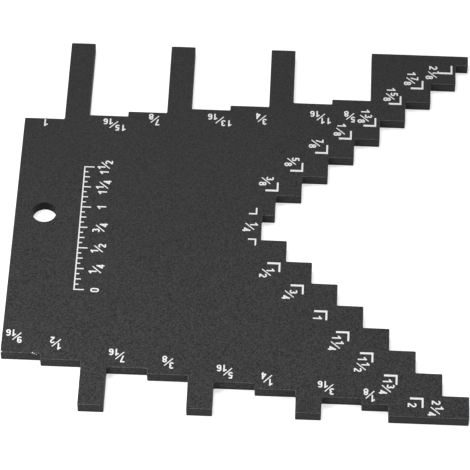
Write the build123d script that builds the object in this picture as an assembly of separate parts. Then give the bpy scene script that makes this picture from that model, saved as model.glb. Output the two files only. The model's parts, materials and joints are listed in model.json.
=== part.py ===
# Height gauge for a saw blade or a router bit: one flat plate with stepped edges,
# and white figures on its top face.
# Lengths are in millimetres. Sizes and places are worked out from the back edge, where x is 0,
# and from the line that the short feet stand on, where y is 0. Z points out of the marked face.
# At the end everything moves so that the origin is the middle of the plate's box, on its underside.

from build123d import *
from fractions import Fraction
import os

# Plate
plate_thickness = 3.0
throat_depth = 60.8           # from the back edge to the end of the slot between the two arms
corner_radius = 0.3           # every corner of the outline
edge_break = 0.12             # small chamfer round both faces
hole_diameter = 6.0
hole_from_back = 7.2
hole_off_middle = 0.8         # above half the plate's height

# Stepped arms, which measure a saw blade. Each tread is as high as it is wide, and the figures
# count inches.
tread_width = 6.35
treads_per_inch = 4
arm_treads = 8                # treads on each arm
slot_width = 7.62             # between the two arms, where they meet
slot_value = Fraction(1, 4)   # printed beside the slot
upper_value = Fraction(3, 8)  # printed at the upper arm's first notch
lower_value = Fraction(1, 2)  # printed at the lower arm's first notch
tip_value = Fraction(9, 4)    # printed at the lower arm's tip

# Feet and shelves, which measure a router bit: each shelf is one shelf step nearer the feet's line
shelf_steps_per_inch = 16
foot_width = 6.15
long_first_shelf = 10.0       # from the back edge to the first long foot
long_end_foot = 24.65         # the last long foot, on top of the upper arm
short_first_shelf = 9.6       # from the back edge to the first riser on the short side
short_last_shelf = 6.35
short_end_foot = 19.0         # the last short foot, under the lower arm
long_first_steps = 16         # depth of the first long shelf, in shelf steps
short_first_steps = 9         # depth of the first short shelf, in shelf steps
long_feet = 3                 # narrow feet on the long side, each with a pair of shelves after it
short_feet = 3                # narrow feet on the short side

# White print
print_thickness = 0.05
figure_height = 1.95
whole_height = 2.2            # a whole number stands taller than a fraction's figures
figure_pen = 0.35             # line width of the figures
slash_pen = 0.26
bracket_across = 3.2          # corner brackets beside the treads
bracket_down = 2.85
bracket_pen_across = 0.55
bracket_pen_down = 0.44
slot_bracket = 2.05           # the two small brackets at the slot
slot_bracket_pen = 0.38

# Plain rule beside the hanging hole
rule_from_back = 16.2         # the spine's distance from the back edge
rule_start = 33.6             # where the rule's zero lies above the short feet's line
rule_divisions = 24           # sixteenths of an inch
rule_numbered = 4             # a number stands at every fourth division
rule_pen = 0.3
rule_tick = 2.4               # the longest tick
tick_shares = {8: 1.0, 4: 0.8, 2: 0.6, 1: 0.4}         # by the divisions that a tick closes
rule_figure_gap = 2.6         # from the longest tick to the middle of the figures

# Strokes of each figure. A bar is x and y at its two ends, and a bow is the centre's x and y and
# the radius, then the angle where it starts and the angle that it turns. Lengths are shares of
# the figure's height, from the left foot of the figure.
bar_shares = {
    "0": [(0.09, 0.305, 0.09, 0.695), (0.49, 0.305, 0.49, 0.695)],
    "1": [(0.37, 0.0, 0.37, 1.0), (0.45, 0.95, 0.07, 0.68)],
    "2": [(0.447, 0.558, 0.09, 0.132), (0.05, 0.105, 0.55, 0.105)],
    "3": [],
    "4": [(0.42, 0.0, 0.42, 1.0), (0.0, 0.27, 0.58, 0.27), (0.46, 0.93, 0.07, 0.27)],
    "5": [(0.13, 0.895, 0.51, 0.895), (0.17, 0.95, 0.12, 0.46)],
    "6": [(0.09, 0.305, 0.09, 0.695)],
    "7": [(0.04, 0.895, 0.56, 0.895), (0.50, 0.93, 0.22, 0.0)],
    "8": [],
    "9": [(0.49, 0.305, 0.49, 0.695)],
}
bow_shares = {
    "0": [(0.29, 0.695, 0.2, 0, 180), (0.29, 0.305, 0.2, 180, 180)],
    "1": [],
    "2": [(0.29, 0.69, 0.205, 165, -209)],
    "3": [(0.275, 0.705, 0.19, 155, -245), (0.275, 0.315, 0.21, 90, -245)],
    "4": [],
    "5": [(0.28, 0.315, 0.21, 135, -290)],
    "6": [(0.29, 0.305, 0.2, 0, 360), (0.29, 0.695, 0.2, 180, -150)],
    "7": [],
    "8": [(0.29, 0.715, 0.18, 0, 360), (0.29, 0.315, 0.21, 0, 360)],
    "9": [(0.29, 0.695, 0.2, 0, 360), (0.29, 0.305, 0.2, 0, -150)],
}
figure_width_share = 0.58

# Setting of a label. Each pair is right and up from the slash's middle to the middle of a figure,
# in figure heights. A pair of figures starts nearer the slash and runs on by its own advance.
numerator_shares = {1: (-0.36, 0.51), 2: (-0.50, 0.48)}     # the last figure
denominator_shares = {1: (0.50, -0.41), 2: (0.39, -0.50)}   # the first figure
advance_shares = {"numerator": 0.80, "denominator": 0.70}
whole_shares = (-1.16, 0.11)
slash_shares = (1.0, 1.1)       # the slash's run and rise
# Where the print sets a numerator or a denominator off its usual place
set_off_shares = {
    Fraction(11, 16): ((0.25, 0.12), (0.03, 0.0)),
    Fraction(13, 16): ((0.0, 0.0), (0.17, -0.02)),
}
no_numerator = Fraction(9, 8)   # this label is printed without its numerator
lone_whole_shares = (-0.96, 0.13)

# Where the labels stand. On a shelf: how far along it, as a share of its width, and how far in
# from its edge, in figure heights. The rows follow the shelves from the back edge.
long_label_shares = [(0.535, 0.77), (0.65, 1.53), (0.70, 1.20), (0.74, 1.77), (0.83, 2.07),
                     (0.72, 2.28)]
short_label_shares = [(0.375, 2.44), (0.365, 2.47), (0.31, 1.73), (0.51, 1.86), (0.33, 1.55),
                      (0.31, 1.55), (0.175, 1.34), (0.305, 1.38)]
# At a tread: the bracket's outer corner from the notch's inner corner, in tread widths, then the
# slash's middle from the bracket's corner, in figure heights. The rows start at the slot.
upper_label_shares = [(0.09, 0.195, -1.62, 1.71), (0.025, 0.225, -1.52, 1.66),
                      (-0.025, 0.175, -1.60, 1.73), (-0.105, -0.055, -1.45, 1.37),
                      (-0.15, -0.35, -1.52, 1.38), (-0.16, -0.17, -1.46, 1.38),
                      (-0.29, -0.325, -1.66, 1.46), (-0.13, -0.475, -2.60, -0.16)]
lower_label_shares = [(-0.21, -0.075, -1.71, -1.59), (-0.285, -0.095, -1.77, -1.49),
                      (-0.36, -0.275, -1.21, -1.14), (-0.51, -0.215, -1.67, -2.11),
                      (-0.59, -0.15, -1.45, -2.15), (-0.675, -0.13, -1.33, -2.11),
                      (-0.70, -0.13, -1.37, -1.10)]
tip_label_shares = (-0.265, -0.68)           # from the last lower notch, in tread widths
slot_label_shares = (-0.455, 0.03)           # from the middle of the slot's end, in tread widths
last_long_label_shares = (-1.85, 0.21)       # from the upper label beside it, in figure heights
notches_before_last_label = 4                # upper notches between the slot and that label
slot_bracket_shares = [(-0.19, 0.025), (-0.18, 0.04)]    # from the slot's upper and lower corner

# Angle that each kind of label is turned by
shelf_reading = 180
step_reading = -90
rule_reading = 90

# Sizes that follow
half_tread = tread_width / 2
shelf_step = tread_width * treads_per_inch / shelf_steps_per_inch
arm_reach = arm_treads * tread_width
plate_length = throat_depth + arm_reach
slot_low = arm_reach
slot_high = slot_low + slot_width
plate_height = slot_high + arm_reach + half_tread     # between the two lines of feet
long_shelves_run = plate_length - long_first_shelf - long_feet * foot_width - long_end_foot
shelf_width = long_shelves_run / (2 * long_feet)
foot_pitch = foot_width + 2 * shelf_width


def long_gaps():
    # start, riser and end of each pair of shelves between the long feet
    gaps = []
    for n in range(long_feet):
        start = long_first_shelf + foot_width + n * foot_pitch
        gaps.append((start, start + shelf_width, start + 2 * shelf_width))
    return gaps


def short_gaps():
    # start, riser and end of each pair of shelves on the short side
    first_end = short_first_shelf + shelf_width
    gaps = [(0, short_first_shelf, first_end)]
    for n in range(1, short_feet):
        start = first_end + foot_width + (n - 1) * foot_pitch
        gaps.append((start, start + shelf_width, start + 2 * shelf_width))
    start = gaps[-1][2] + foot_width
    end = plate_length - short_end_foot
    gaps.append((start, end - short_last_shelf, end))
    return gaps


def pair_of_shelves(gap, depth):
    # each shelf as its start, its end and its depth in shelf steps
    start, riser, end = gap
    return [(start, riser, depth), (riser, end, depth - 1)]


def long_shelves():
    shelves = [(0, long_first_shelf, long_first_steps)]
    for n, gap in enumerate(long_gaps()):
        shelves += pair_of_shelves(gap, long_first_steps - 1 - 2 * n)
    return shelves


def short_shelves():
    shelves = []
    for n, gap in enumerate(short_gaps()):
        shelves += pair_of_shelves(gap, short_first_steps - 2 * n)
    return shelves


def feet_side(shelves):
    # corners of one side, from the back edge to the arm's tip, as x and depth from the feet's line
    points = []
    for n, (start, end, depth) in enumerate(shelves):
        if n > 0 and start > shelves[n - 1][1]:
            points += [(shelves[n - 1][1], 0), (start, 0)]
        points += [(start, depth * shelf_step), (end, depth * shelf_step)]
    return points + [(shelves[-1][1], 0), (plate_length, 0)]


def lower_notches():
    # inner corners of the lower arm's notches, from the slot to the tip
    return [(throat_depth + n * tread_width, slot_low - n * tread_width) for n in range(1, arm_treads)]


def upper_notches():
    # inner corners of the upper arm's notches, from the slot to the tip
    first = throat_depth + half_tread
    return [(first + n * tread_width, slot_high + (n + 1) * tread_width) for n in range(arm_treads)]


def plate_outline():
    short_side = feet_side(short_shelves())
    long_side = [(x, plate_height - depth) for x, depth in feet_side(long_shelves())]
    lower_arm = [(plate_length, tread_width)]
    for x, y in reversed(lower_notches()):
        lower_arm += [(x, y), (x, y + tread_width)]
    upper_arm = [(throat_depth, slot_high)]
    for x, y in upper_notches():
        upper_arm += [(x, y - tread_width), (x, y)]
    upper_arm.append((plate_length, plate_height - half_tread))
    slot_end = [(throat_depth, slot_low)]
    return short_side + lower_arm + slot_end + upper_arm + long_side[::-1]


def gauge_plate():
    face = make_face(Polyline(*plate_outline(), close=True))
    face = fillet(face.vertices(), corner_radius)
    face -= Pos(hole_from_back, plate_height / 2 + hole_off_middle) * Circle(hole_diameter / 2)
    plate = extrude(face, plate_thickness)
    rims = plate.edges().group_by(Axis.Z)
    return chamfer(rims[0] + rims[-1], edge_break)


def bar(start, end, pen):
    # straight stroke with square ends
    run = Vector(*end) - Vector(*start)
    middle = (Vector(*start) + Vector(*end)) / 2
    turn = Vector(1, 0).get_signed_angle(run, Vector(0, 0, 1))
    return Pos(middle.X, middle.Y) * Rot(0, 0, turn) * Rectangle(run.length, pen)


def bow(centre, radius, start, turn, pen):
    # curved stroke with square ends, or a whole ring
    inner = radius - pen / 2
    outer = radius + pen / 2
    if abs(turn) == 360:
        return Pos(*centre) * (Circle(outer) - Circle(inner))
    inside = CenterArc(centre, inner, start, turn)
    outside = CenterArc(centre, outer, start, turn)
    ends = [Line(inside @ 0, outside @ 0), Line(inside @ 1, outside @ 1)]
    return make_face([inside, outside, *ends])


def figure(digit, height, middle):
    # one digit, its strokes scaled to the height and joined
    strokes = []
    for x0, y0, x1, y1 in bar_shares[digit]:
        strokes.append(bar((x0 * height, y0 * height), (x1 * height, y1 * height), figure_pen))
    for x, y, radius, start, turn in bow_shares[digit]:
        centre = (x * height, y * height)
        strokes.append(bow(centre, radius * height, start, turn, figure_pen))
    drawn = Sketch() + strokes
    left = middle[0] - figure_width_share * height / 2
    return Pos(left, middle[1] - height / 2) * drawn


def figures(digits, first, advance):
    # digits of a number side by side, the first of them at the middle given
    x, y = first
    return [figure(digit, figure_height, (x + n * advance, y)) for n, digit in enumerate(digits)]


def from_slash(shares, extra=(0, 0)):
    return tuple((share + more) * figure_height for share, more in zip(shares, extra))


def fraction_bar():
    run, rise = from_slash(slash_shares)
    return bar((-run / 2, -rise / 2), (run / 2, rise / 2), slash_pen)


def label(value):
    # whole number and fraction of an inch, about the slash's middle or the whole number's
    whole, rest = divmod(value, 1)
    if rest == 0:
        return figure(str(whole), whole_height, (0, 0))
    off_top, off_bottom = set_off_shares.get(value, ((0, 0), (0, 0)))
    top, bottom = str(rest.numerator), str(rest.denominator)
    pieces = [fraction_bar()]
    if value != no_numerator:
        advance = advance_shares["numerator"] * figure_height
        last_x, y = from_slash(numerator_shares[len(top)], off_top)
        pieces += figures(top, (last_x - (len(top) - 1) * advance, y), advance)
    advance = advance_shares["denominator"] * figure_height
    pieces += figures(bottom, from_slash(denominator_shares[len(bottom)], off_bottom), advance)
    if whole > 0:
        place = lone_whole_shares if value == no_numerator else whole_shares
        pieces.append(figure(str(whole), whole_height, from_slash(place)))
    return Sketch() + pieces


def bracket(corner, across, down, pen_across, pen_down):
    # two arms meeting at the corner: one runs back from it, one up or down from it
    x, y = corner
    way = 1 if down > 0 else -1
    foot = Pos(x - across / 2, y + way * pen_across / 2) * Rectangle(across, pen_across)
    post = Pos(x - pen_down / 2, y + down / 2) * Rectangle(pen_down, abs(down))
    return foot + post


def printed(sketches):
    # white print of one thickness, lying on the plate's top face
    return extrude(Pos(0, 0, plate_thickness) * (Sketch() + sketches), print_thickness)


def placed_label(value, middle, reading):
    return Pos(*middle) * Rot(0, 0, reading) * label(value)


def name_of(kind, value):
    whole, rest = divmod(value, 1)
    words = [str(whole)] if whole else []
    if rest:
        words += [str(rest.numerator), str(rest.denominator)]
    return "_".join([kind] + words)


def shelf_label(depth, middle):
    value = Fraction(depth, shelf_steps_per_inch)
    return {name_of("shelf_label", value): printed([placed_label(value, middle, shelf_reading)])}


def shelf_labels(shelves, shares, edge, inward):
    # one label for each shelf of a side that has a share, whose feet's line is at the edge given
    labels = {}
    for (start, end, depth), (along, inset) in zip(shelves, shares):
        x = start + along * (end - start)
        y = edge + inward * (depth * shelf_step + inset * figure_height)
        labels.update(shelf_label(depth, (x, y)))
    return labels


def bracket_and_label(notch, shares):
    # outer corner of the bracket at a notch, and the middle of the notch's label
    right, up, aside, along = shares
    corner = (notch[0] + right * tread_width, notch[1] + up * tread_width)
    return corner, (corner[0] + aside * figure_height, corner[1] + along * figure_height)


def last_long_label():
    # label of the last long shelf, which stands beside a label of the upper arm
    n = notches_before_last_label
    corner, (x, y) = bracket_and_label(upper_notches()[n], upper_label_shares[n])
    left, up = last_long_label_shares
    depth = long_shelves()[-1][2]
    return shelf_label(depth, (x + left * figure_height, y + up * figure_height))


def step_labels(notches, shares, first, way):
    # one bracket and one label for each notch of an arm
    labels = {}
    for n, (notch, share) in enumerate(zip(notches, shares)):
        corner, middle = bracket_and_label(notch, share)
        value = first + Fraction(n, treads_per_inch)
        marks = [bracket(corner, bracket_across, way * bracket_down,
                         bracket_pen_across, bracket_pen_down),
                 placed_label(value, middle, step_reading)]
        labels[name_of("step_label", value)] = printed(marks)
    return labels


def tip_label():
    x, y = lower_notches()[-1]
    right, up = tip_label_shares
    middle = (x + right * tread_width, y + up * tread_width)
    marks = [placed_label(tip_value, middle, step_reading)]
    return {name_of("step_label", tip_value): printed(marks)}


def slot_label():
    # label of the slot's own width, with a small bracket at each of its corners
    right, up = slot_label_shares
    middle_height = (slot_low + slot_high) / 2
    middle = (throat_depth + right * tread_width, middle_height + up * tread_width)
    marks = [placed_label(slot_value, middle, step_reading)]
    for (right, up), level, way in zip(slot_bracket_shares, (slot_high, slot_low), (1, -1)):
        corner = (throat_depth + right * tread_width, level + up * tread_width)
        marks.append(bracket(corner, slot_bracket, way * slot_bracket,
                             slot_bracket_pen, slot_bracket_pen))
    return {name_of("step_label", slot_value): printed(marks)}


def tick_length(n):
    closes = max(size for size in tick_shares if n % size == 0)
    return tick_shares[closes] * rule_tick


def rule_ticks():
    # spine along the rule, and a tick at each division
    length = rule_divisions * shelf_step
    spine = bar((rule_from_back, rule_start - rule_pen / 2),
                (rule_from_back, rule_start + length + rule_pen / 2), rule_pen)
    marks = [spine]
    for n in range(rule_divisions + 1):
        y = rule_start + n * shelf_step
        marks.append(bar((rule_from_back, y), (rule_from_back + tick_length(n), y), rule_pen))
    return printed(marks)


def rule_numbers():
    # inches and quarters beside their ticks
    x = rule_from_back + rule_tick + rule_figure_gap
    marks = []
    for n in range(0, rule_divisions + 1, rule_numbered):
        number = label(Fraction(n, shelf_steps_per_inch))
        middle = number.bounding_box().center()
        place = Pos(x, rule_start + n * shelf_step) * Rot(0, 0, rule_reading)
        marks.append(place * Pos(-middle.X, -middle.Y) * number)
    return printed(marks)


nodes = {"gauge_plate": gauge_plate()}
nodes.update(shelf_labels(long_shelves(), long_label_shares, plate_height, -1))
nodes.update(last_long_label())
nodes.update(shelf_labels(short_shelves(), short_label_shares, 0, 1))
nodes.update(slot_label())
nodes.update(step_labels(upper_notches(), upper_label_shares, upper_value, 1))
nodes.update(step_labels(lower_notches(), lower_label_shares, lower_value, -1))
nodes.update(tip_label())
nodes["rule_ticks"] = rule_ticks()
nodes["rule_numbers"] = rule_numbers()

to_origin = Pos(-plate_length / 2, -plate_height / 2)
os.makedirs("parts", exist_ok=True)
for name, solid in nodes.items():
    export_step(to_origin * solid, f"parts/{name}.step")
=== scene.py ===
import bpy
import json
import math
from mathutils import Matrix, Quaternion, Vector


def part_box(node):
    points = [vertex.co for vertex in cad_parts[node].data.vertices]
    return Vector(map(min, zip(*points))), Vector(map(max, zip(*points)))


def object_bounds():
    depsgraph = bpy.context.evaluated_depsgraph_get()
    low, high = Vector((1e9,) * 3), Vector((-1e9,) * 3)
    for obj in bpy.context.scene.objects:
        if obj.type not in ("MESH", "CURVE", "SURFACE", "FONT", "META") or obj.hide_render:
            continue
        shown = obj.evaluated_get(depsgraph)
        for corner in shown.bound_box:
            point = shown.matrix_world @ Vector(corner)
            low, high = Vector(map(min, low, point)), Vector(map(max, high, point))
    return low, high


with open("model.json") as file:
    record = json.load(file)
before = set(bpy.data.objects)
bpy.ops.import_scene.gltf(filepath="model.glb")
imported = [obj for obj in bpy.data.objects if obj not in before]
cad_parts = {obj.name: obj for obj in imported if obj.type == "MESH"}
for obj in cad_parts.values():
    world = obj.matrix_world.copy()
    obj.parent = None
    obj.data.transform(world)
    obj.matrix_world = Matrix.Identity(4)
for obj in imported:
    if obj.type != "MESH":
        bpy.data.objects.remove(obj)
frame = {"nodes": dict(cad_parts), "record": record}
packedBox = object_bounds()
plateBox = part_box("gauge_plate")
print("packed part loaded,", len(frame["nodes"]), "nodes")


# What every material is built from

white = (1.0, 1.0, 1.0, 1.0)
noiseMiddle = 0.5                 # noise swings about this value


def startMaterial(name):
    material = bpy.data.materials.new(name)
    material.use_nodes = True
    tree = material.node_tree
    return material, tree, tree.nodes["Principled BSDF"]


def startGroup(name, inputs, outputs):
    group = bpy.data.node_groups.new(name, "ShaderNodeTree")
    for way, sockets in (("INPUT", inputs), ("OUTPUT", outputs)):
        for socketName, kind in sockets.items():
            group.interface.new_socket(name=socketName, in_out=way, socket_type=kind)
    groupIn = group.nodes.new("NodeGroupInput")
    groupOut = group.nodes.new("NodeGroupOutput")
    return group, groupIn.outputs, groupOut.inputs


def wire(tree, source, target):
    # a socket is linked, and anything else becomes the target's own value
    if isinstance(source, bpy.types.NodeSocket):
        tree.links.new(source, target)
    else:
        target.default_value = source


def useGroup(tree, group, values):
    node = tree.nodes.new("ShaderNodeGroup")
    node.node_tree = group
    for socketName, value in values.items():
        wire(tree, value, node.inputs[socketName])
    return node.outputs


def mathNode(tree, operation, first, second=None, third=None, clamp=False):
    node = tree.nodes.new("ShaderNodeMath")
    node.operation = operation
    node.use_clamp = clamp
    for value, socket in zip((first, second, third), node.inputs):
        if value is not None:
            wire(tree, value, socket)
    return node.outputs[0]


def oneMinus(tree, value):
    return mathNode(tree, "SUBTRACT", 1.0, value)


def swing(tree, value, strength):
    # how far noise is off its middle, times a strength
    return mathNode(tree, "MULTIPLY", mathNode(tree, "SUBTRACT", value, noiseMiddle), strength)


def remap(tree, value, fromLow, fromHigh, toLow=0.0, toHigh=1.0):
    # soft step from one range to another
    node = tree.nodes.new("ShaderNodeMapRange")
    node.interpolation_type = "SMOOTHSTEP"
    for source, socket in zip((value, fromLow, fromHigh, toLow, toHigh), node.inputs):
        wire(tree, source, socket)
    return node.outputs[0]


def nearMask(tree, away, width):
    # 1 up to the width, and 0 from twice the width on
    twice = mathNode(tree, "MULTIPLY", width, 2.0)
    return oneMinus(tree, remap(tree, away, width, twice))


def overMask(tree, value, share, make):
    # 1 where noise is over a threshold, which a larger share brings down
    lowered = mathNode(tree, "MULTIPLY", share, make["thresholdDrop"])
    threshold = mathNode(tree, "SUBTRACT", make["threshold"], lowered)
    return remap(tree, value, threshold, mathNode(tree, "ADD", threshold, make["thresholdBlend"]))


def noise(tree, place, scale, detail, roughness):
    node = tree.nodes.new("ShaderNodeTexNoise")
    wire(tree, place, node.inputs["Vector"])
    wire(tree, scale, node.inputs["Scale"])
    wire(tree, detail, node.inputs["Detail"])
    wire(tree, roughness, node.inputs["Roughness"])
    return node.outputs["Fac"]


def cells(tree, place, scale):
    node = tree.nodes.new("ShaderNodeTexVoronoi")
    wire(tree, place, node.inputs["Vector"])
    wire(tree, scale, node.inputs["Scale"])
    return node.outputs["Distance"]


def splitPlace(tree, place):
    node = tree.nodes.new("ShaderNodeSeparateXYZ")
    wire(tree, place, node.inputs[0])
    return node.outputs


def stretch(tree, place, factors):
    node = tree.nodes.new("ShaderNodeVectorMath")
    node.operation = "MULTIPLY"
    wire(tree, place, node.inputs[0])
    wire(tree, factors, node.inputs[1])
    return node.outputs[0]


def distance(tree, place, point):
    node = tree.nodes.new("ShaderNodeVectorMath")
    node.operation = "DISTANCE"
    wire(tree, place, node.inputs[0])
    wire(tree, point, node.inputs[1])
    return node.outputs["Value"]


def shade(tree, colour, tone):
    node = tree.nodes.new("ShaderNodeVectorMath")
    node.operation = "SCALE"
    wire(tree, colour, node.inputs[0])
    wire(tree, tone, node.inputs["Scale"])
    return node.outputs[0]


def mixColour(tree, mask, under, over):
    node = tree.nodes.new("ShaderNodeMix")
    node.data_type = "RGBA"
    wire(tree, mask, node.inputs["Factor"])
    wire(tree, under, node.inputs["A"])
    wire(tree, over, node.inputs["B"])
    return node.outputs["Result"]


def bump(tree, height, depth):
    node = tree.nodes.new("ShaderNodeBump")
    wire(tree, depth, node.inputs["Distance"])
    wire(tree, height, node.inputs["Height"])
    return node.outputs["Normal"]


# Fine pits of a blasted face with their rims, its soft patches, and the tone that both give

grainMake = {
    "pitDetail": 2.0,
    "pitRoughness": 0.5,
    "rimFineness": 2.3,           # the rims are this many times finer than the pits
    "rimShare": 0.35,             # the rims' share in the height
    "patchDetail": 3.0,
    "patchRoughness": 0.6,
}


def buildBlastGrain(make):
    tree, given, out = startGroup(
        "blastGrain",
        {"Place": "NodeSocketVector", "Pits per metre": "NodeSocketFloat",
         "Patches per metre": "NodeSocketFloat", "Grain": "NodeSocketFloat",
         "Patchiness": "NodeSocketFloat"},
        {"Height": "NodeSocketFloat", "Tone": "NodeSocketFloat"})
    place = given["Place"]
    pits = noise(tree, place, given["Pits per metre"], make["pitDetail"], make["pitRoughness"])
    finer = mathNode(tree, "MULTIPLY", given["Pits per metre"], make["rimFineness"])
    rims = cells(tree, place, finer)
    height = mathNode(tree, "ADD", pits, mathNode(tree, "MULTIPLY", rims, make["rimShare"]))
    patches = noise(tree, place, given["Patches per metre"], make["patchDetail"],
                    make["patchRoughness"])
    swings = mathNode(tree, "ADD", swing(tree, pits, given["Grain"]),
                      swing(tree, patches, given["Patchiness"]))
    wire(tree, height, out["Height"])
    wire(tree, mathNode(tree, "ADD", swings, 1.0), out["Tone"])
    return tree


# The small chamfer round both faces, where the coating is thin, and its broken bright line

edgeMake = {
    # how far a surface leans up, where it stops being a wall and where it becomes a face
    "wallEnds": (0.15, 0.45),
    "faceStarts": (0.85, 0.97),
    "breakDetail": 4.0,
    "breakRoughness": 0.65,
    # noise over the threshold is worn, and full wear lowers the threshold by the drop
    "threshold": 0.72,
    "thresholdDrop": 0.3,
    "thresholdBlend": 0.16,
}


def buildEdgeWear(make):
    tree, given, out = startGroup(
        "edgeWear",
        {"Place": "NodeSocketVector", "Breaks per metre": "NodeSocketFloat",
         "Wear": "NodeSocketFloat"},
        {"Edge": "NodeSocketFloat", "Worn": "NodeSocketFloat", "Wall": "NodeSocketFloat"})
    geometry = tree.nodes.new("ShaderNodeNewGeometry")
    leaning = mathNode(tree, "ABSOLUTE", splitPlace(tree, geometry.outputs["True Normal"])["Z"])
    offWall = remap(tree, leaning, *make["wallEnds"])
    onFace = remap(tree, leaning, *make["faceStarts"])
    edge = mathNode(tree, "MULTIPLY", offWall, oneMinus(tree, onFace))
    broken = noise(tree, given["Place"], given["Breaks per metre"], make["breakDetail"],
                   make["breakRoughness"])
    worn = overMask(tree, broken, given["Wear"], make)
    wire(tree, edge, out["Edge"])
    wire(tree, mathNode(tree, "MULTIPLY", edge, worn), out["Worn"])
    wire(tree, oneMinus(tree, offWall), out["Wall"])
    return tree


# Faint lines that the cutter left along the walls, level with the plate's faces, and painted
# shade: a darker band along a wall's upper and lower rim

lineMake = {
    "squash": (0.03, 0.03, 1.0),  # draws the noise out along the wall
    "detail": 2.0,
    "roughness": 0.6,
}


def buildCutLinesAndPaintedShade(make):
    tree, given, out = startGroup(
        "cutLinesAndPaintedShade",
        {"Place": "NodeSocketVector", "Lines per metre": "NodeSocketFloat",
         "Strength": "NodeSocketFloat", "Thickness": "NodeSocketFloat",
         "Painted rim shade width": "NodeSocketFloat", "Painted rim shade": "NodeSocketFloat"},
        {"Height": "NodeSocketFloat", "Tone": "NodeSocketFloat"})
    drawnOut = stretch(tree, given["Place"], make["squash"])
    lines = noise(tree, drawnOut, given["Lines per metre"], make["detail"], make["roughness"])
    up = splitPlace(tree, given["Place"])["Z"]
    fromRim = mathNode(tree, "MINIMUM", up, mathNode(tree, "SUBTRACT", given["Thickness"], up))
    # painted shade: the wall is darker within the band width of its upper and lower rim
    band = nearMask(tree, fromRim, given["Painted rim shade width"])
    darker = mathNode(tree, "MULTIPLY", band, given["Painted rim shade"])
    tone = mathNode(tree, "SUBTRACT", swing(tree, lines, given["Strength"]), darker)
    wire(tree, lines, out["Height"])
    wire(tree, mathNode(tree, "ADD", tone, 1.0), out["Tone"])
    return tree


# Sparse specks, which are dust on the black and pinholes in the white

dustMake = {
    "spreadCoarseness": 6.0,      # where specks gather is this many times coarser than the specks
    "spreadDetail": 2.0,
    "spreadRoughness": 0.55,
    # specks gather where noise is over the threshold, and full cover lowers it by the drop
    "threshold": 0.75,
    "thresholdDrop": 0.4,
    "thresholdBlend": 0.1,
}


def buildDust(make):
    tree, given, out = startGroup(
        "dust",
        {"Place": "NodeSocketVector", "Specks per metre": "NodeSocketFloat",
         "Speck size": "NodeSocketFloat", "Cover": "NodeSocketFloat"},
        {"Mask": "NodeSocketFloat"})
    away = cells(tree, given["Place"], given["Specks per metre"])
    specks = nearMask(tree, away, given["Speck size"])
    coarser = mathNode(tree, "DIVIDE", given["Specks per metre"], make["spreadCoarseness"])
    spread = noise(tree, given["Place"], coarser, make["spreadDetail"], make["spreadRoughness"])
    gathered = overMask(tree, spread, given["Cover"], make)
    wire(tree, mathNode(tree, "MULTIPLY", specks, gathered), out["Mask"])
    return tree


# A nick: a ragged spot round a point, where the coating is knocked off

nickMake = {
    "ragsPerMetre": 5200.0,
    "ragDetail": 3.0,
    "ragRoughness": 0.7,
    "leastReach": 0.35,           # of the nick's size, with the noise added to it
    "rim": (0.8, 1.1),            # shares of the reach between which the nick fades out
}


def buildNick(make):
    tree, given, out = startGroup(
        "nick",
        {"Place": "NodeSocketVector", "Centre": "NodeSocketVector", "Size": "NodeSocketFloat"},
        {"Mask": "NodeSocketFloat"})
    apart = distance(tree, given["Place"], given["Centre"])
    rags = noise(tree, given["Place"], make["ragsPerMetre"], make["ragDetail"],
                 make["ragRoughness"])
    reach = mathNode(tree, "MULTIPLY", given["Size"],
                     mathNode(tree, "ADD", rags, make["leastReach"]))
    share = mathNode(tree, "DIVIDE", apart, reach)
    wire(tree, oneMinus(tree, remap(tree, share, *make["rim"])), out["Mask"])
    return tree


groups = {
    "blastGrain": buildBlastGrain(grainMake),
    "edgeWear": buildEdgeWear(edgeMake),
    "cutLinesAndPaintedShade": buildCutLinesAndPaintedShade(lineMake),
    "dust": buildDust(dustMake),
    "nick": buildNick(nickMake),
}
print("shader groups built")


# Black anodised aluminium

anodising = {
    "colour": (0.0369, 0.0369, 0.0377, 1.0),
    "roughness": 0.5,
    "specular": 0.07,
    # at the short feet and at the long ones: the blast was coarser at the first, and the painted
    # light makes the plate brighter at the first and darker at the last
    "grain": (3.3, 1.5),
    "paintedLightAlongPlate": (1.09, 0.97),
    "pitsPerMetre": 2830.0,
    "pitDepth": 0.000016,
    "pitDulling": 0.12,           # how much the pits swing the roughness
    "patchesPerMetre": 60.0,
    "patchiness": 0.16,
    "edgeColour": (0.105, 0.105, 0.107, 1.0),
    "edgeCover": 0.8,
    "breaksPerMetre": 900.0,
    "wear": 0.45,
    "linesPerMetre": 1400.0,
    "lineStrength": 0.3,
    # painted shade along each wall's upper and lower rim: its width and how much darker it gets
    "paintedRimShadeWidth": 0.00035,
    "paintedRimShade": 0.25,
    "boreRadius": 0.00315,        # a little over the hole's own, to take in its chamfers
    "paintedBoreShade": 0.1,             # painted shade in the hanging hole: the share of the colour left on its wall
    "boreRimShare": 0.6,          # its chamfers have this share of that painted shade
    "dustColour": (0.125, 0.125, 0.125, 1.0),
    "dustCover": 0.4,
    "dustOpacity": 0.5,
    "specksPerMetre": 420.0,
    "speckSize": 0.05,            # a share of the specks' spacing
    "bareMetal": (0.4, 0.4, 0.405, 1.0),
    "nickPolish": -0.2,           # added to the roughness
    "nickDepth": 3.0,             # times the pits' depth
    # from the back edge and the short feet's line, and up from the underside, with the nick's size
    "nicks": [(0.0002, 0.0144, 0.003, 0.0003), (0.0077, 0.0144, 0.003, 0.0002),
              (0.0081, 0.0143, 0.0028, 0.00022), (0.0086, 0.0143, 0.0025, 0.00018)],
}


def holeCentre():
    mounts = frame["record"]["mounts"]
    return next(mount["pos_m"] for mount in mounts if mount["name"] == "hanging_hole")


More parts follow.
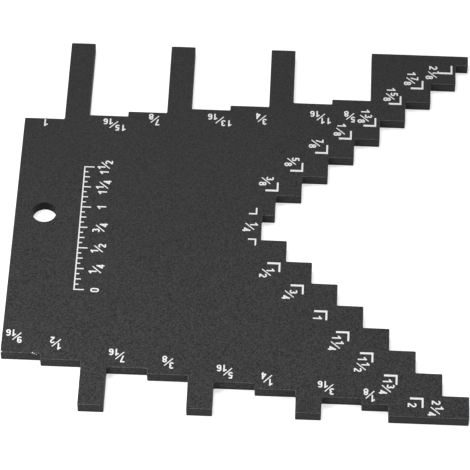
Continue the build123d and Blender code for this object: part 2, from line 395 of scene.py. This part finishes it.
def paintedShadeInBore(tree, place, wear, settings):
    # painted shade: darker on the wall of the hanging hole, and 1 everywhere else
    x, y, _ = holeCentre()
    apart = distance(tree, stretch(tree, place, (1.0, 1.0, 0.0)), (x, y, 0.0))
    inside = mathNode(tree, "LESS_THAN", apart, settings["boreRadius"])
    steep = mathNode(tree, "MULTIPLY_ADD", wear["Edge"], settings["boreRimShare"], wear["Wall"],
                     clamp=True)
    bore = mathNode(tree, "MULTIPLY", inside, steep)
    return mathNode(tree, "MULTIPLY_ADD", bore, settings["paintedBoreShade"] - 1.0, 1.0)


def nickMask(tree, place, settings, box):
    nicked = None
    for x, y, z, size in settings["nicks"]:
        centre = (box[0][0] + x, box[0][1] + y, box[0][2] + z)
        values = {"Place": place, "Centre": centre, "Size": size}
        mask = useGroup(tree, groups["nick"], values)["Mask"]
        nicked = mask if nicked is None else mathNode(tree, "MAXIMUM", nicked, mask)
    return nicked


def anodisedBlack(settings, box):
    material, tree, shader = startMaterial("anodisedBlack")
    place = tree.nodes.new("ShaderNodeTexCoord").outputs["Object"]
    along = splitPlace(tree, place)["Y"]
    coarse = remap(tree, along, box[0][1], box[1][1], *settings["grain"])
    # painted light: the colour is scaled brighter towards the short feet and darker towards the
    # long ones
    paintedLight = remap(tree, along, box[0][1], box[1][1], *settings["paintedLightAlongPlate"])
    grain = useGroup(tree, groups["blastGrain"], {
        "Place": place, "Pits per metre": settings["pitsPerMetre"],
        "Patches per metre": settings["patchesPerMetre"], "Grain": coarse,
        "Patchiness": settings["patchiness"]})
    wear = useGroup(tree, groups["edgeWear"], {
        "Place": place, "Breaks per metre": settings["breaksPerMetre"], "Wear": settings["wear"]})
    lines = useGroup(tree, groups["cutLinesAndPaintedShade"], {
        "Place": place, "Lines per metre": settings["linesPerMetre"],
        "Strength": settings["lineStrength"], "Thickness": box[1][2] - box[0][2],
        "Painted rim shade width": settings["paintedRimShadeWidth"], "Painted rim shade": settings["paintedRimShade"]})
    dust = useGroup(tree, groups["dust"], {
        "Place": place, "Specks per metre": settings["specksPerMetre"],
        "Speck size": settings["speckSize"], "Cover": settings["dustCover"]})
    nicked = nickMask(tree, place, settings, box)

    # colour: the coating, thin on the chamfers, then its tone with the painted shade in the bore
    # and along the wall rims and the painted light along the plate, the dust and the nicks
    thin = mathNode(tree, "MULTIPLY", wear["Edge"], settings["edgeCover"])
    colour = mixColour(tree, thin, settings["colour"], settings["edgeColour"])
    colour = mixColour(tree, wear["Worn"], colour, settings["edgeColour"])
    onWall = mathNode(tree, "MULTIPLY", wear["Wall"],
                      mathNode(tree, "SUBTRACT", lines["Tone"], 1.0))
    tone = mathNode(tree, "MULTIPLY", grain["Tone"], mathNode(tree, "ADD", onWall, 1.0))
    tone = mathNode(tree, "MULTIPLY", tone, paintedShadeInBore(tree, place, wear, settings))
    tone = mathNode(tree, "MULTIPLY", tone, paintedLight)
    dusty = mathNode(tree, "MULTIPLY", dust["Mask"], settings["dustOpacity"])
    colour = mixColour(tree, dusty, shade(tree, colour, tone), settings["dustColour"])
    colour = mixColour(tree, nicked, colour, settings["bareMetal"])
    wire(tree, colour, shader.inputs["Base Color"])
    wire(tree, nicked, shader.inputs["Metallic"])

    dull = swing(tree, grain["Height"], settings["pitDulling"])
    polished = mathNode(tree, "MULTIPLY", nicked, settings["nickPolish"])
    rough = mathNode(tree, "ADD", mathNode(tree, "ADD", dull, polished), settings["roughness"])
    wire(tree, rough, shader.inputs["Roughness"])
    wire(tree, settings["specular"], shader.inputs["Specular IOR Level"])
    wallHeight = mathNode(tree, "MULTIPLY", wear["Wall"], lines["Height"])
    height = mathNode(tree, "ADD", grain["Height"], wallHeight)
    knocked = mathNode(tree, "MULTIPLY", nicked, settings["nickDepth"])
    height = mathNode(tree, "SUBTRACT", height, knocked)
    wire(tree, bump(tree, height, settings["pitDepth"]), shader.inputs["Normal"])
    return material


# White screen-printed ink

ink = {
    "colour": (0.92, 0.92, 0.915, 1.0),
    "thinColour": (0.62, 0.62, 0.62, 1.0),
    "roughness": 0.5,
    "specular": 0.5,
    "pitsPerMetre": 3400.0,
    "pitDepth": 0.000010,
    "pitDulling": 0.1,            # how much the pits swing the roughness
    "grain": 0.10,
    "patchesPerMetre": 60.0,
    "patchiness": 0.05,
    "pinholesPerMetre": 1900.0,
    "pinholeSize": 0.09,          # a share of the pinholes' spacing
    "pinholeCover": 0.6,
    "pinholeOpacity": 0.6,
}


def whiteInk(settings):
    material, tree, shader = startMaterial("whiteInk")
    place = tree.nodes.new("ShaderNodeTexCoord").outputs["Object"]
    grain = useGroup(tree, groups["blastGrain"], {
        "Place": place, "Pits per metre": settings["pitsPerMetre"],
        "Patches per metre": settings["patchesPerMetre"], "Grain": settings["grain"],
        "Patchiness": settings["patchiness"]})
    pinholes = useGroup(tree, groups["dust"], {
        "Place": place, "Specks per metre": settings["pinholesPerMetre"],
        "Speck size": settings["pinholeSize"], "Cover": settings["pinholeCover"]})
    thin = mathNode(tree, "MULTIPLY", pinholes["Mask"], settings["pinholeOpacity"])
    colour = mixColour(tree, thin, settings["colour"], settings["thinColour"])
    wire(tree, shade(tree, colour, grain["Tone"]), shader.inputs["Base Color"])
    dull = swing(tree, grain["Height"], settings["pitDulling"])
    wire(tree, mathNode(tree, "ADD", dull, settings["roughness"]), shader.inputs["Roughness"])
    wire(tree, settings["specular"], shader.inputs["Specular IOR Level"])
    wire(tree, bump(tree, grain["Height"], settings["pitDepth"]), shader.inputs["Normal"])
    return material


finishes = {"anodised_black": anodisedBlack(anodising, plateBox), "white_print": whiteInk(ink)}
for part in frame["record"]["subparts"]:
    node = frame["nodes"][part["node"]]
    for slot in node.material_slots:
        slot.material = finishes[part["material_slot"]]
print("materials on", len(frame["nodes"]), "nodes")


# Studio: a pale floor, a white surround and soft lamps

studio = {
    "floorSize": 8.0,
    "floorGap": 0.00002,          # the floor lies this far under the part
    "floorColour": (0.8, 0.8, 0.8, 1.0),
    "floorRoughness": 0.9,
    # glow that brings the floor to white where the camera sees it: near the part and far from it,
    # and the distances where it starts and stops to grow
    "floorGlow": (0.62, 1.0),
    "glowReach": (0.12, 0.7),
    "worldLight": 0.02,
    # position, side and power of each square lamp, and the point that all of them aim at
    "lamps": {
        "leftLamp": ((-0.13, -0.13, 0.16), 0.12, 0.31),
        "rightLamp": ((0.16, -0.12, 0.10), 0.12, 0.092),
        "topLamp": ((-0.05, 0.15, 0.5), 0.2, 1.38),
    },
    "lampAim": (0.0, 0.0, 0.0),
}


def seenShare(tree):
    # 1 for the rays that show the surround: from the camera, off gloss and through glass
    path = tree.nodes.new("ShaderNodeLightPath")
    seen = mathNode(tree, "MAXIMUM", path.outputs["Is Camera Ray"], path.outputs["Is Glossy Ray"])
    return mathNode(tree, "MAXIMUM", seen, path.outputs["Is Transmission Ray"])


def buildFloor(settings, low):
    half = settings["floorSize"] / 2
    z = low - settings["floorGap"]
    mesh = bpy.data.meshes.new("studioFloor")
    corners = [(-half, -half, z), (half, -half, z), (half, half, z), (-half, half, z)]
    mesh.from_pydata(corners, [], [(0, 1, 2, 3)])
    floor = bpy.data.objects.new("studioFloor", mesh)
    bpy.context.scene.collection.objects.link(floor)
    material, tree, shader = startMaterial("studioFloor")
    wire(tree, settings["floorColour"], shader.inputs["Base Color"])
    wire(tree, settings["floorRoughness"], shader.inputs["Roughness"])
    wire(tree, 0.0, shader.inputs["Specular IOR Level"])
    wire(tree, white, shader.inputs["Emission Color"])
    place = tree.nodes.new("ShaderNodeTexCoord").outputs["Object"]
    away = distance(tree, place, (0.0, 0.0, 0.0))
    level = remap(tree, away, *settings["glowReach"], *settings["floorGlow"])
    glow = mathNode(tree, "MULTIPLY", seenShare(tree), level)
    wire(tree, glow, shader.inputs["Emission Strength"])
    mesh.materials.append(material)


def buildWorld(settings):
    world = bpy.data.worlds.new("studioWorld")
    bpy.context.scene.world = world
    world.use_nodes = True
    tree = world.node_tree
    background = tree.nodes["Background"]
    wire(tree, white, background.inputs["Color"])
    strength = mathNode(tree, "MAXIMUM", seenShare(tree), settings["worldLight"])
    wire(tree, strength, background.inputs["Strength"])


def aimFrom(place, aim):
    return (Vector(aim) - Vector(place)).to_track_quat("-Z", "Y")


def setUp(name, data, place, turn):
    holder = bpy.data.objects.new(name, data)
    holder.location = place
    holder.rotation_euler = turn.to_euler()
    bpy.context.scene.collection.objects.link(holder)
    return holder


def buildLamp(name, place, aim, side, power):
    lamp = bpy.data.lights.new(name, "AREA")
    lamp.shape = "SQUARE"
    lamp.size = side
    lamp.energy = power
    setUp(name, lamp, place, aimFrom(place, aim))


buildFloor(studio, packedBox[0][2])
buildWorld(studio)
for name, (place, side, power) in studio["lamps"].items():
    buildLamp(name, place, studio["lampAim"], side, power)
print("studio ready")


# Camera at the photograph's viewing angle

view = {
    "place": (0.01461, -0.48298, 0.62308),
    "aim": (-0.00141, -0.00421, 0.003),
    "rollDegrees": 0.58,
    "lens": 245.07,               # millimetres, as the sensor
    "sensor": 36.0,
    "nearClip": 0.01,
}


def buildCamera(settings):
    camera = bpy.data.cameras.new("photoCamera")
    camera.lens = settings["lens"]
    camera.sensor_width = settings["sensor"]
    camera.clip_start = settings["nearClip"]
    roll = Quaternion((0.0, 0.0, 1.0), math.radians(settings["rollDegrees"]))
    turn = aimFrom(settings["place"], settings["aim"]) @ roll
    bpy.context.scene.camera = setUp("photoCamera", camera, settings["place"], turn)


buildCamera(view)
bpy.context.scene.view_settings.view_transform = "Standard"
